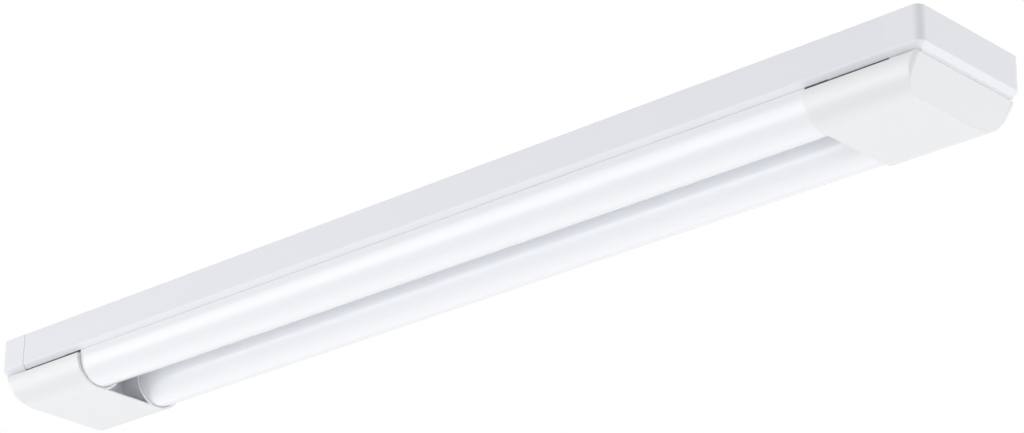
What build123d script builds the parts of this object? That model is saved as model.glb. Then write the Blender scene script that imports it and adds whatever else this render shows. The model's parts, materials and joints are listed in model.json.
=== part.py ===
from build123d import *
import math
import os

# LED batten light with two opal tubes, in millimetres.
# The origin is the middle of the ceiling face, +X runs along the light and +Z is up.

# Body against the ceiling
body_length = 1200.0
body_width = 143.0
side_height = 33.7
lip_drop = 4.8
lip_inset = 4.5
sheet = 0.8
bend_radius = 1.4
flange_width = 12.0
overrun = 1.0

# Holes in the ceiling face
fixing_inset = 250.0
fixing_slot_length = 30.0
fixing_slot_width = 6.5
entry_inset = 130.0
entry_hole_radius = 10.5
box_screw_spacing = 51.0
box_screw_radius = 2.25
bush_gap = 0.1
bush_bore_radius = 8.0
bush_flange_radius = 13.5
bush_flange_height = 2.5
bush_sides = 16

# Moulded end caps of the body
cap_length = 37.0
cap_seam = 0.4
cap_corner_radius = 8.0
cap_edge = 0.8
cap_wall = 1.8
cap_inner_chamfer = 4.0
cap_rim_width = 9.0
cap_skirt_drop = 3.0
cap_skirt_inset = 5.4
spigot_length = 12.0
spigot_root = 6.0
spigot_gap = 0.15
spigot_wall = 1.6
spigot_height = 26.0
snap_window_length = 4.0
snap_window_width = 10.0
snap_window_y = 40.0
snap_gap = 0.5
cap_rib_wall = 1.4
cap_rib_spacing = 44.0

# Gear tray
tray_gap = 0.3
tray_thickness = 1.0
tray_side_gap = 1.8
tray_end_gap = 1.0
tray_end_height = 10.0
tray_end_relief = 13.2
tray_screw_inset = 60.0
tray_screw_edge = 6.5
tray_screw_radius = 2.2
tray_screw_length = 9.0
tray_screw_head_radius = 3.8
tray_screw_head_height = 2.6
tray_screw_clearance = 0.4
nut_bore_radius = 2.6
nut_radius = 3.4
nut_height = 6.0
nut_head_radius = 4.6
nut_head_height = 0.8
fit_gap = 0.1
screw_sides = 6

# Diffusers and the strips that carry them
tube_side_inset = 4.2
tube_between = 26.6
tube_centre_gap = 4.2
tube_wall = 1.5
tube_end_inset = 100.6
tube_skirt_gap = 0.4
foot_width = 4.0
foot_height = 1.3
strip_end_gap = 1.4
strip_thickness = 1.0
strip_edge_gap = 2.0
strip_slope_gap = 2.7
strip_slope_run = 1.8
rivet_end_gap = 58.0
rivet_edge = 4.8
rivet_radius = 1.5
rivet_head_radius = 2.0
rivet_head_height = 0.9

# LED boards
board_gap = 12.0
board_end_gap = 2.0
board_side_gap = 0.2
board_thickness = 1.6
chip_count = 20
chip_size = 3.0
chip_height = 0.7
board_screw_radius = 1.4
board_screw_length = 2.4
board_screw_head_radius = 2.6
board_screw_head_height = 1.4
joiner_length = 20.0
joiner_width = 9.0
joiner_height = 3.2

# LED driver
driver_place_share = 0.175
driver_length = 240.0
driver_width = 42.0
driver_height = 28.0
driver_corner = 2.5
driver_lid_drop = 5.0
driver_groove = 0.6
driver_step = 20.0
driver_foot_length = 9.0
driver_foot_width = 22.0
driver_foot_thickness = 2.0
driver_screw_radius = 1.8
driver_screw_length = 5.0
driver_screw_head_radius = 3.4
driver_screw_head_height = 2.0
plug_depth = 12.0
plug_width = 24.0
plug_height = 11.0
plug_drop = 5.6
wire_hole_depth = 4.0
wire_gap = 0.15

# Mains terminal block
terminal_step = 59.0
terminal_length = 22.0
terminal_width = 33.0
terminal_height = 18.0
terminal_ear_width = 9.0
terminal_ear_height = 4.0
terminal_edge = 1.0
pole_pitch = 9.6
supply_hole_radius = 2.1
supply_hole_depth = 8.0
wire_hole_height = 8.0
button_size = 5.4
button_gap = 0.4
button_height = 9.0
button_stand = 2.2
button_travel = 1.5
button_edge = 0.6
small_screw_radius = 1.4
small_screw_length = 5.2
small_screw_head_radius = 2.7
small_screw_head_height = 1.8

# Cable clamp
clamp_step = 35.0
clamp_length = 9.0
clamp_inner_radius = 5.5
clamp_thickness = 2.2
clamp_leg = 2.5
clamp_foot = 7.0

# Earth point
earth_screw_radius = 2.0
earth_screw_head_radius = 3.8
earth_screw_head_height = 2.4
earth_screw_length = 5.0
lug_radius = 5.0
lug_thickness = 0.8
lug_barrel_length = 8.0
lug_barrel_radius = 1.9

# Leads
mains_lead_radius = 1.2
led_lead_radius = 1.8
led_hole_radius = 3.0
lead_share = 0.42
lead_sides = 5
lead_hole_sides = 8
mains_lead_step = 16.0
led_lead_step = 38.0
led_lead_rise = 3.0

# End covers
cover_length = 125.6
cover_foot_inset = 24.0
cover_top_gap = 0.9
cover_side_flat = 1.1
cover_lean = 0.6
cover_corner_radius = 11.0
cover_corner_spare = 1.0
cover_inner_chamfer = 6.5
hollow_flats = 4
cover_wall = 1.8
cradle_gap = 0.4
cradle_wall = 1.5
cradle_floor = 1.6
bulkhead_gap = 1.1
bulkhead_thickness = 1.6
rib_height = 9.0
rib_wall = 1.4
rib_inset = 25.5
trap_step = 0.4
trap_wall = 1.4
trap_gap = 0.5
trap_end_gap = 3.0
hook_y = 24.0
hook_insets = (84.0, 52.0)
hook_width = 8.0
hook_thickness = 2.2
hook_barb = 1.2
hook_barb_height = 4.5
hook_gap = 0.6
hook_root_width = 1.4
hook_root_depth = 7.0
hook_root_height = 20.0

# Places and sizes that follow from those above
half_length = body_length / 2
half_width = body_width / 2
base_bottom = -(side_height + lip_drop)
lip_edge_y = half_width - lip_inset
flange_inner_y = lip_edge_y - flange_width
channel_end = half_length - cap_length
cap_start = channel_end + cap_seam
window_x = channel_end - spigot_length / 2
entry_x = half_length - entry_inset
fixing_spacing = body_length - 2 * fixing_inset

tray_top = base_bottom - tray_gap
tray_bottom = tray_top - tray_thickness
tray_end = channel_end - tray_end_gap
tray_width = 2 * (lip_edge_y - tray_side_gap)
tray_end_width = tray_width - 2 * tray_end_relief
tray_screw_x = half_length - tray_screw_inset
tray_screw_y = lip_edge_y - tray_screw_edge

tube_radius = (half_width - tube_side_inset - tube_between / 2) / 2
tube_y = tube_between / 2 + tube_radius
tube_centre = tray_bottom - tube_centre_gap
tube_end = half_length - tube_end_inset
foot_top = tray_bottom - tray_gap
foot_bottom = foot_top - foot_height
strip_flange_bottom = foot_bottom - strip_thickness
crown_bottom = tray_bottom - strip_thickness
strip_end = tube_end - strip_end_gap
strip_half = tube_radius - tube_wall - strip_edge_gap
strip_slope_half = tube_radius - tube_wall - foot_width - strip_slope_gap
strip_crown_half = strip_slope_half - strip_slope_run
strip_rivet_x = strip_end - rivet_end_gap
strip_rivet_y = strip_crown_half - rivet_edge

board_end = strip_end - board_end_gap
board_width = 2 * (strip_rivet_y - rivet_head_radius - board_side_gap)
board_bottom = crown_bottom - board_thickness
board_length = board_end - board_gap / 2
chip_pitch = board_length / chip_count
board_screw_steps = (1, chip_count - 1)

driver_x = -body_length * driver_place_share
driver_start = driver_x - driver_length / 2
driver_end = driver_x + driver_length / 2
earth_x = driver_start - driver_step
earth_y = pole_pitch
terminal_x = earth_x - terminal_step
terminal_end = terminal_x + terminal_length / 2
clamp_x = terminal_x - clamp_step
wire_hole_z = tray_top + wire_hole_height
plug_centre_z = tray_top + driver_height - plug_drop - plug_height / 2

cover_inner_x = half_length - cover_length
cover_foot_x = half_length - cover_foot_inset
cover_top = base_bottom - cap_skirt_drop - cover_top_gap
cover_bottom = tube_centre - tube_radius - cradle_gap - cradle_floor
cover_side_radius = cover_top - cover_side_flat - cover_bottom
bulkhead_x = tube_end + bulkhead_gap
rib_y = half_width - rib_inset
hook_x = [half_length - inset for inset in hook_insets]
trap_y = tray_width / 2 + trap_step
trap_reach = trap_y + trap_wall / 2 - (half_width - cover_side_radius)
trap_foot = cover_top - cover_side_flat - math.sqrt(cover_side_radius**2 - trap_reach**2) + cover_wall / 3

os.makedirs("parts", exist_ok=True)


def keep(builder, name):
    """Label a finished piece and write it under its own name."""
    builder.part.label = name
    export_step(builder.part, "parts/" + name + ".step")


def mirrored(source, name):
    """Write the piece at the other end or side of the light."""
    plane = Plane.YZ if name.endswith("left") else Plane.XZ
    with BuildPart() as twin:
        mirror(source.part, about=plane)
    keep(twin, name)


def draw_body_section():
    """Section of the body: flat ceiling face, upright sides and a lip turned in at the bottom."""
    corners = [
        (half_width, 0),
        (half_width, -side_height),
        (lip_edge_y, base_bottom),
        (-lip_edge_y, base_bottom),
        (-half_width, -side_height),
        (-half_width, 0),
    ]
    Polygon(*corners, align=None)


def screws(spots, seat, into, shank_radius, shank_length, head_radius, head_height, name):
    """Screws whose heads seat at one height; into is 1 where the shanks point up and -1 where down."""
    with BuildPart() as group:
        with BuildSketch(Plane.XY.offset(seat)):
            with Locations(*spots):
                RegularPolygon(head_radius, screw_sides)
        extrude(amount=-into * head_height)
        with BuildSketch(Plane.XY.offset(seat)):
            with Locations(*spots):
                RegularPolygon(shank_radius, screw_sides)
        extrude(amount=into * shank_length)
    keep(group, name)


def lead(points, radius, name):
    """A bent lead: straight runs joined by arcs as large as the shorter run allows."""
    corners = [Vector(*p) for p in points]
    bends = []
    for before, here, after in zip(corners, corners[1:], corners[2:]):
        first = here - before
        second = after - here
        half_turn = math.radians(first.get_angle(second)) / 2
        bends.append(lead_share * min(first.length, second.length) / math.tan(half_turn))
    print(name, "bend radii", [round(bend, 1) for bend in bends])
    with BuildPart() as wire:
        with BuildLine() as route:
            FilletPolyline(*corners, radius=bends)
        with BuildSketch(Plane(origin=corners[0], z_dir=corners[1] - corners[0])):
            RegularPolygon(radius, lead_sides)
        sweep(path=route.wire())
    keep(wire, name)


# Folded steel body
with BuildPart() as base_channel:
    with BuildSketch(Plane.YZ.offset(-channel_end)) as skin:
        draw_body_section()
        offset(amount=-sheet, mode=Mode.SUBTRACT)
        fillet(skin.face().outer_wire().vertices(), bend_radius)
        with Locations((0, base_bottom)):
            Rectangle(2 * flange_inner_y, 2 * (sheet + overrun), mode=Mode.SUBTRACT)
    extrude(amount=2 * channel_end)
    with BuildSketch():
        with GridLocations(fixing_spacing, 0, 2, 1):
            SlotOverall(fixing_slot_length, fixing_slot_width)
        with GridLocations(entry_x, 0, 3, 1):
            RegularPolygon(entry_hole_radius, bush_sides)
        with GridLocations(box_screw_spacing, 0, 2, 1):
            Circle(box_screw_radius)
        with GridLocations(2 * window_x, 2 * snap_window_y, 2, 2):
            Rectangle(snap_window_length, snap_window_width)
    extrude(amount=sheet + overrun, both=True, mode=Mode.SUBTRACT)
    with BuildSketch(Plane.XY.offset(base_bottom)):
        with GridLocations(2 * tray_screw_x, 2 * tray_screw_y, 2, 2):
            RegularPolygon(nut_radius + fit_gap, screw_sides)
    extrude(amount=sheet + overrun, both=True, mode=Mode.SUBTRACT)
keep(base_channel, "base_channel")

# Moulded cap that closes each end of the body
lip_plane = Plane(origin=(0, 0, -side_height), x_dir=(1, 0, 0), z_dir=(0, 0, -1))
lip_angle = math.degrees(math.atan2(lip_inset, lip_drop))
with BuildPart() as end_cap_right:
    with BuildSketch(lip_plane) as cap_plan:
        Rectangle(body_length, body_width)
        fillet(cap_plan.vertices(), cap_corner_radius)
    extrude(amount=lip_drop, taper=lip_angle)
    with BuildSketch() as cap_top:
        Rectangle(body_length, body_width)
        fillet(cap_top.vertices(), cap_corner_radius)
    extrude(amount=-side_height)
    chamfer(faces().sort_by(Axis.Z)[-1].edges(), cap_edge)
    split(bisect_by=Plane.YZ.offset(cap_start), keep=Keep.TOP)
    with BuildSketch(Plane.XY.offset(-cap_wall)) as cap_hollow:
        Rectangle(body_length - 2 * cap_wall, body_width - 2 * cap_wall)
        chamfer(cap_hollow.vertices(), cap_inner_chamfer)
    extrude(amount=cap_wall - side_height, mode=Mode.SUBTRACT)
    with BuildSketch(Plane.XY.offset(base_bottom)):
        Rectangle(body_length - 2 * cap_rim_width, body_width - 2 * cap_rim_width)
    extrude(amount=side_height, mode=Mode.SUBTRACT)
    with BuildSketch(Plane.XY.offset(base_bottom)) as cap_skirt:
        Rectangle(body_length - 2 * cap_skirt_inset, body_width - 2 * cap_skirt_inset)
        chamfer(cap_skirt.vertices(), cap_corner_radius - cap_skirt_inset)
        offset(amount=-cap_wall, mode=Mode.SUBTRACT)
        with Locations((cap_start, 0)):
            Rectangle(
                2 * body_length,
                body_width,
                align=(Align.MAX, Align.CENTER),
                mode=Mode.SUBTRACT,
            )
    extrude(amount=-cap_skirt_drop)
    with BuildSketch(Plane.YZ.offset(channel_end - spigot_length)):
        spigot_half = half_width - sheet - spigot_gap
        spigot_top = -(sheet + spigot_gap)
        with Locations((0, spigot_top)):
            spigot = Rectangle(2 * spigot_half, spigot_height, align=(Align.CENTER, Align.MAX))
        fillet(spigot.vertices().group_by(Axis.Z)[-1], bend_radius - sheet)
        with Locations((0, spigot_top - spigot_wall)):
            Rectangle(
                2 * (spigot_half - spigot_wall),
                spigot_height,
                align=(Align.CENTER, Align.MAX),
                mode=Mode.SUBTRACT,
            )
    extrude(amount=spigot_length + spigot_root)
    with BuildSketch(Plane.XY.offset(spigot_top - spigot_wall / 2)):
        with Locations((window_x, snap_window_y), (window_x, -snap_window_y)):
            Rectangle(snap_window_length - 2 * snap_gap, snap_window_width - 2 * snap_gap)
    extrude(amount=spigot_wall / 2 + spigot_gap + sheet - fit_gap)
    with BuildSketch(Plane.XY.offset(-cap_wall / 2)):
        for y in (-cap_rib_spacing, 0, cap_rib_spacing):
            with Locations((cap_start, y)):
                Rectangle(
                    half_length - cap_wall / 2 - cap_start,
                    cap_rib_wall,
                    align=(Align.MIN, Align.CENTER),
                )
    extrude(amount=-(side_height - spigot_height))
keep(end_cap_right, "end_cap_right")
mirrored(end_cap_right, "end_cap_left")

# Bush in the cable entry that is used, and blanking plugs in the other two
bush_steps = (
    (entry_hole_radius - bush_gap, 0, sheet),
    (bush_flange_radius, -sheet, bush_flange_height),
)
with BuildPart() as cable_bush:
    for radius, top, height in bush_steps:
        with BuildSketch(Plane.XY.offset(top)):
            with Locations((-entry_x, 0)):
                RegularPolygon(radius, bush_sides)
        extrude(amount=-height)
    with Locations((-entry_x, 0)):
        Hole(bush_bore_radius)
keep(cable_bush, "cable_bush")

with BuildPart() as blanking_plugs:
    for radius, top, height in bush_steps:
        with BuildSketch(Plane.XY.offset(top)):
            with Locations((0, 0), (entry_x, 0)):
                RegularPolygon(radius, bush_sides)
        extrude(amount=-height)
keep(blanking_plugs, "blanking_plugs")

# Nuts riveted into the flanges of the body, for the tray screws
nut_places = [
    (x, y)
    for x in (-tray_screw_x, tray_screw_x)
    for y in (-tray_screw_y, tray_screw_y)
]
with BuildPart() as tray_nuts:
    with BuildSketch(Plane.XY.offset(base_bottom)):
        with Locations(*nut_places):
            RegularPolygon(nut_radius, screw_sides)
    extrude(amount=nut_height)
    with BuildSketch(Plane.XY.offset(base_bottom + sheet)):
        with Locations(*nut_places):
            RegularPolygon(nut_head_radius, screw_sides)
    extrude(amount=nut_head_height)
    with BuildSketch(Plane.XY.offset(base_bottom)):
        with Locations(*nut_places):
            RegularPolygon(nut_bore_radius, screw_sides)
    extrude(amount=nut_height, mode=Mode.SUBTRACT)
keep(tray_nuts, "tray_nuts")

# Steel tray that closes the body and carries everything electrical
rivet_places = [
    (x, side * tube_y + off)
    for x in (-strip_rivet_x, 0, strip_rivet_x)
    for side in (-1, 1)
    for off in (-strip_rivet_y, strip_rivet_y)
]
driver_screw_places = [
    (driver_start - driver_foot_length / 2, 0),
    (driver_end + driver_foot_length / 2, 0),
]
clamp_screw_y = clamp_inner_radius + clamp_thickness + clamp_foot / 2
clamp_screw_places = [(clamp_x, -clamp_screw_y), (clamp_x, clamp_screw_y)]
ear_y = terminal_width / 2 + terminal_ear_width / 2
terminal_screw_places = [(terminal_x, -ear_y), (terminal_x, ear_y)]
with BuildPart() as gear_tray:
    with BuildSketch(Plane.XY.offset(tray_bottom)) as tray_plan:
        Rectangle(2 * tray_end, tray_width)
        chamfer(tray_plan.vertices(), cap_corner_radius - lip_inset)
    extrude(amount=tray_thickness)
    with BuildSketch(Plane.XY.offset(tray_bottom)):
        with GridLocations(2 * tray_end - tray_thickness, 0, 2, 1):
            Rectangle(tray_thickness, tray_end_width)
    extrude(amount=tray_thickness + tray_end_height)
    with BuildSketch(Plane.XY.offset(tray_bottom)):
        with Locations(*nut_places):
            RegularPolygon(tray_screw_radius + tray_screw_clearance, screw_sides)
        with Locations((0, -tube_y), (0, tube_y)):
            RegularPolygon(led_hole_radius, lead_hole_sides)
        with Locations(*rivet_places):
            RegularPolygon(rivet_radius + fit_gap, screw_sides)
        with Locations(*driver_screw_places):
            RegularPolygon(driver_screw_radius + fit_gap, screw_sides)
        with Locations(*clamp_screw_places, *terminal_screw_places):
            RegularPolygon(small_screw_radius + fit_gap, screw_sides)
        with Locations((earth_x, earth_y)):
            RegularPolygon(earth_screw_radius + fit_gap, screw_sides)
        for end in (-1, 1):
            for x in hook_x:
                for side in (-1, 1):
                    with Locations((end * x, side * (hook_y + hook_barb / 2))):
                        Rectangle(
                            hook_width + 2 * hook_gap,
                            hook_thickness + hook_barb + 2 * hook_gap,
                        )
    extrude(amount=tray_thickness, mode=Mode.SUBTRACT)
keep(gear_tray, "gear_tray")

screws(
    nut_places,
    tray_bottom,
    1,
    tray_screw_radius,
    tray_screw_length,
    tray_screw_head_radius,
    tray_screw_head_height,
    "tray_screws",
)

# Rolled strips that carry the boards and hold the diffusers' feet
for side, name in ((-1, "led_strip_near"), (1, "led_strip_far")):
    with BuildPart() as strip:
        with BuildSketch(Plane.YZ.offset(-strip_end)):
            with BuildLine():
                Polyline(
                    (side * tube_y - strip_half, foot_bottom),
                    (side * tube_y - strip_slope_half, foot_bottom),
                    (side * tube_y - strip_crown_half, tray_bottom),
                    (side * tube_y + strip_crown_half, tray_bottom),
                    (side * tube_y + strip_slope_half, foot_bottom),
                    (side * tube_y + strip_half, foot_bottom),
                    (side * tube_y + strip_half, strip_flange_bottom),
                    (side * tube_y + strip_slope_half - strip_thickness / 2, strip_flange_bottom),
                    (side * tube_y + strip_crown_half - strip_thickness / 2, crown_bottom),
                    (side * tube_y - strip_crown_half + strip_thickness / 2, crown_bottom),
                    (side * tube_y - strip_slope_half + strip_thickness / 2, strip_flange_bottom),
                    (side * tube_y - strip_half, strip_flange_bottom),
                    close=True,
                )
            make_face()
        extrude(amount=2 * strip_end)
        with BuildSketch(Plane.XY.offset(tray_bottom)):
            with Locations((0, side * tube_y)):
                RegularPolygon(led_hole_radius, lead_hole_sides)
            with Locations(*[place for place in rivet_places if place[1] * side > 0]):
                RegularPolygon(rivet_radius + fit_gap, screw_sides)
            for end in (-1, 1):
                for step in board_screw_steps:
                    board_screw_x = board_gap / 2 + step * chip_pitch
                    with Locations((end * board_screw_x, side * tube_y)):
                        RegularPolygon(board_screw_radius + fit_gap, screw_sides)
        extrude(amount=-strip_thickness, mode=Mode.SUBTRACT)
    keep(strip, name)

with BuildPart() as strip_rivets:
    for seat, rise in ((tray_top, rivet_head_height), (crown_bottom, -rivet_head_height)):
        with BuildSketch(Plane.XY.offset(seat)):
            with Locations(*rivet_places):
                RegularPolygon(rivet_head_radius, screw_sides)
        extrude(amount=rise)
    with BuildSketch(Plane.XY.offset(crown_bottom)):
        with Locations(*rivet_places):
            RegularPolygon(rivet_radius, screw_sides)
    extrude(amount=tray_top - crown_bottom)
keep(strip_rivets, "strip_rivets")

# Boards, two to a strip, with their LEDs, screws and the joiner between them
screw_places = []
for side, side_name in ((-1, "near"), (1, "far")):
    for end, end_name in ((-1, "left"), (1, "right")):
        tail = side_name + "_" + end_name
        middle_x = end * (board_gap / 2 + board_length / 2)
        board_screw_spots = [
            (end * (board_gap / 2 + step * chip_pitch), side * tube_y)
            for step in board_screw_steps
        ]
        screw_places += board_screw_spots
        with BuildPart() as board:
            with BuildSketch(Plane.XY.offset(board_bottom)):
                with Locations((middle_x, side * tube_y)):
                    Rectangle(board_length, board_width)
                with Locations(*board_screw_spots):
                    RegularPolygon(
                        board_screw_radius + fit_gap,
                        screw_sides,
                        mode=Mode.SUBTRACT,
                    )
            extrude(amount=board_thickness)
        keep(board, "led_board_" + tail)
        with BuildPart() as chips:
            with BuildSketch(Plane.XY.offset(board_bottom)):
                with Locations((middle_x, side * tube_y)):
                    with GridLocations(chip_pitch, 0, chip_count, 1):
                        Rectangle(chip_size, chip_size)
            extrude(amount=-chip_height)
        keep(chips, "led_chips_" + tail)

screws(
    screw_places,
    board_bottom,
    1,
    board_screw_radius,
    board_screw_length,
    board_screw_head_radius,
    board_screw_head_height,
    "board_screws",
)

with BuildPart() as board_joiners:
    with BuildSketch(Plane.XY.offset(board_bottom)):
        with Locations((0, -tube_y), (0, tube_y)):
            Rectangle(joiner_length, joiner_width)
    extrude(amount=-joiner_height)
    chamfer(faces().sort_by(Axis.Z)[0].edges(), joiner_height / 5)
keep(board_joiners, "board_joiners")

# Opal diffusers: extruded half tubes with feet turned in over the strips
with BuildPart() as diffuser_far:
    with BuildSketch(Plane.YZ.offset(-tube_end)):
        with BuildLine():
            Line((tube_y - tube_radius, foot_top), (tube_y - tube_radius, tube_centre))
            ThreePointArc(
                (tube_y - tube_radius, tube_centre),
                (tube_y, tube_centre - tube_radius),
                (tube_y + tube_radius, tube_centre),
            )
            Line(
                (tube_y + tube_radius, tube_centre),
                (tube_y + tube_radius, base_bottom - tube_skirt_gap),
            )
            Line(
                (tube_y + tube_radius, base_bottom - tube_skirt_gap),
                (tube_y + tube_radius - tube_wall, base_bottom - tube_skirt_gap),
            )
            Line(
                (tube_y + tube_radius - tube_wall, base_bottom - tube_skirt_gap),
                (tube_y + tube_radius - tube_wall, foot_top),
            )
            Line(
                (tube_y + tube_radius - tube_wall, foot_top),
                (tube_y + tube_radius - tube_wall - foot_width, foot_top),
            )
            Line(
                (tube_y + tube_radius - tube_wall - foot_width, foot_top),
                (tube_y + tube_radius - tube_wall - foot_width, foot_bottom),
            )
            Line(
                (tube_y + tube_radius - tube_wall - foot_width, foot_bottom),
                (tube_y + tube_radius - tube_wall, foot_bottom),
            )
            Line(
                (tube_y + tube_radius - tube_wall, foot_bottom),
                (tube_y + tube_radius - tube_wall, tube_centre),
            )
            ThreePointArc(
                (tube_y + tube_radius - tube_wall, tube_centre),
                (tube_y, tube_centre - tube_radius + tube_wall),
                (tube_y - tube_radius + tube_wall, tube_centre),
            )
            Line(
                (tube_y - tube_radius + tube_wall, tube_centre),
                (tube_y - tube_radius + tube_wall, foot_bottom),
            )
            Line(
                (tube_y - tube_radius + tube_wall, foot_bottom),
                (tube_y - tube_radius + tube_wall + foot_width, foot_bottom),
            )
            Line(
                (tube_y - tube_radius + tube_wall + foot_width, foot_bottom),
                (tube_y - tube_radius + tube_wall + foot_width, foot_top),
            )
            Line(
                (tube_y - tube_radius + tube_wall + foot_width, foot_top),
                (tube_y - tube_radius, foot_top),
            )
        make_face()
    extrude(amount=2 * tube_end)
keep(diffuser_far, "diffuser_far")
mirrored(diffuser_far, "diffuser_near")

# LED driver on the tray
with BuildPart() as driver_case:
    with BuildSketch(Plane.XY.offset(tray_top)):
        with Locations((driver_x, 0)):
            Rectangle(driver_length, driver_width)
    extrude(amount=driver_height)
    chamfer(edges().filter_by(Axis.Z), driver_corner)
    chamfer(faces().sort_by(Axis.Z)[-1].edges(), driver_corner / 2)
    with BuildSketch(Plane.XY.offset(tray_top + driver_height - driver_lid_drop)) as lid_line:
        with Locations((driver_x, 0)):
            Rectangle(driver_length, driver_width)
            chamfer(lid_line.vertices(), driver_corner)
            offset(amount=-driver_groove, mode=Mode.SUBTRACT)
    extrude(amount=driver_groove, mode=Mode.SUBTRACT)
    with BuildSketch(Plane.XY.offset(tray_top)):
        with Locations((driver_x, 0)):
            Rectangle(driver_length + 2 * driver_foot_length, driver_foot_width)
        with Locations(*driver_screw_places):
            RegularPolygon(
                driver_screw_radius + fit_gap,
                screw_sides,
                mode=Mode.SUBTRACT,
            )
    extrude(amount=driver_foot_thickness)
    with Locations((driver_start, 0, plug_centre_z), (driver_end, 0, plug_centre_z)):
        Box(2 * plug_depth, plug_width, plug_height, mode=Mode.SUBTRACT)
keep(driver_case, "driver_case")

screws(
    driver_screw_places,
    tray_top + driver_foot_thickness,
    -1,
    driver_screw_radius,
    driver_screw_length,
    driver_screw_head_radius,
    driver_screw_head_height,
    "driver_screws",
)

# Wire sockets at the two ends of the driver
mains_wire_y = pole_pitch / 2
led_wire_y = plug_width / 4
socket_rows = (
    ("driver_input", driver_start, 1, mains_wire_y, mains_lead_radius),
    ("driver_output", driver_end, -1, led_wire_y, led_lead_radius),
)
for name, face_x, inward, wire_y, wire_radius in socket_rows:
    with BuildPart() as socket:
        with Locations((face_x + inward * plug_depth / 2, 0, plug_centre_z)):
            Box(plug_depth, plug_width, plug_height)
        with BuildSketch(Plane.YZ.offset(face_x)):
            with Locations((-wire_y, plug_centre_z), (wire_y, plug_centre_z)):
                RegularPolygon(wire_radius + wire_gap, lead_hole_sides)
        extrude(amount=inward * wire_hole_depth, mode=Mode.SUBTRACT)
    keep(socket, name)

# Mains terminal block with a release button for each pole
pole_places = (-pole_pitch, 0, pole_pitch)
with BuildPart() as terminal_block:
    with BuildSketch(Plane.XY.offset(tray_top)):
        with Locations((terminal_x, 0)):
            Rectangle(terminal_length, terminal_width)
    extrude(amount=terminal_height)
    chamfer(faces().sort_by(Axis.Z)[-1].edges(), terminal_edge)
    with BuildSketch(Plane.XY.offset(tray_top)):
        with Locations((terminal_x, 0)):
            Rectangle(terminal_ear_width, terminal_width + 2 * terminal_ear_width)
        with Locations(*terminal_screw_places):
            RegularPolygon(
                small_screw_radius + fit_gap,
                screw_sides,
                mode=Mode.SUBTRACT,
            )
    extrude(amount=terminal_ear_height)
    with BuildSketch(Plane.YZ.offset(terminal_x - terminal_length / 2)):
        with Locations(*[(y, wire_hole_z) for y in pole_places]):
            RegularPolygon(supply_hole_radius, lead_hole_sides)
    extrude(amount=supply_hole_depth, mode=Mode.SUBTRACT)
    with BuildSketch(Plane.YZ.offset(terminal_end)):
        with Locations(*[(y, wire_hole_z) for y in pole_places]):
            RegularPolygon(mains_lead_radius + wire_gap, lead_hole_sides)
    extrude(amount=-wire_hole_depth, mode=Mode.SUBTRACT)
    with BuildSketch(Plane.XY.offset(tray_top + terminal_height)):
        with Locations(*[(terminal_x, y) for y in pole_places]):
            Rectangle(button_size + 2 * button_gap, button_size + 2 * button_gap)
    extrude(
        amount=-(button_height - button_stand + button_travel + button_gap),
        mode=Mode.SUBTRACT,
    )
keep(terminal_block, "terminal_block")

for y, name in zip(pole_places, ("live", "neutral", "earth")):
    with BuildPart() as button:
        with BuildSketch(Plane.XY.offset(tray_top + terminal_height + button_stand)):
            with Locations((terminal_x, y)):
                Rectangle(button_size, button_size)
        extrude(amount=-button_height)
        chamfer(faces().sort_by(Axis.Z)[-1].edges(), button_edge)
    keep(button, "release_button_" + name)

screws(
    terminal_screw_places,
    tray_top + terminal_ear_height,
    -1,
    small_screw_radius,
    small_screw_length,
    small_screw_head_radius,
    small_screw_head_height,
    "terminal_screws",
)

# Saddle that grips the supply cable
with BuildPart() as cable_clamp:
    clamp_outer_radius = clamp_inner_radius + clamp_thickness
    arch_z = tray_top + clamp_leg
    with BuildSketch(Plane.YZ.offset(clamp_x - clamp_length / 2)):
        with Locations((0, arch_z)):
            RegularPolygon(clamp_outer_radius, bush_sides)
        with Locations((0, tray_top)):
            Rectangle(
                2 * clamp_outer_radius, clamp_leg, align=(Align.CENTER, Align.MIN)
            )
            Rectangle(
                2 * (clamp_outer_radius + clamp_foot),
                clamp_thickness,
                align=(Align.CENTER, Align.MIN),
            )
        with Locations((0, arch_z)):
            Circle(clamp_inner_radius, mode=Mode.SUBTRACT)
        with Locations((0, tray_top)):
            Rectangle(
                2 * clamp_inner_radius,
                clamp_leg,
                align=(Align.CENTER, Align.MIN),
                mode=Mode.SUBTRACT,
            )
            Rectangle(
                4 * clamp_outer_radius,
                2 * clamp_outer_radius,
                align=(Align.CENTER, Align.MAX),
                mode=Mode.SUBTRACT,
            )
    extrude(amount=clamp_length)
    with BuildSketch(Plane.XY.offset(tray_top)):
        with Locations(*clamp_screw_places):
            RegularPolygon(small_screw_radius + fit_gap, screw_sides)
    extrude(amount=clamp_thickness, mode=Mode.SUBTRACT)
keep(cable_clamp, "cable_clamp")

screws(
    clamp_screw_places,
    tray_top + clamp_thickness,
    -1,
    small_screw_radius,
    small_screw_length,
    small_screw_head_radius,
    small_screw_head_height,
    "clamp_screws",
)

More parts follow.
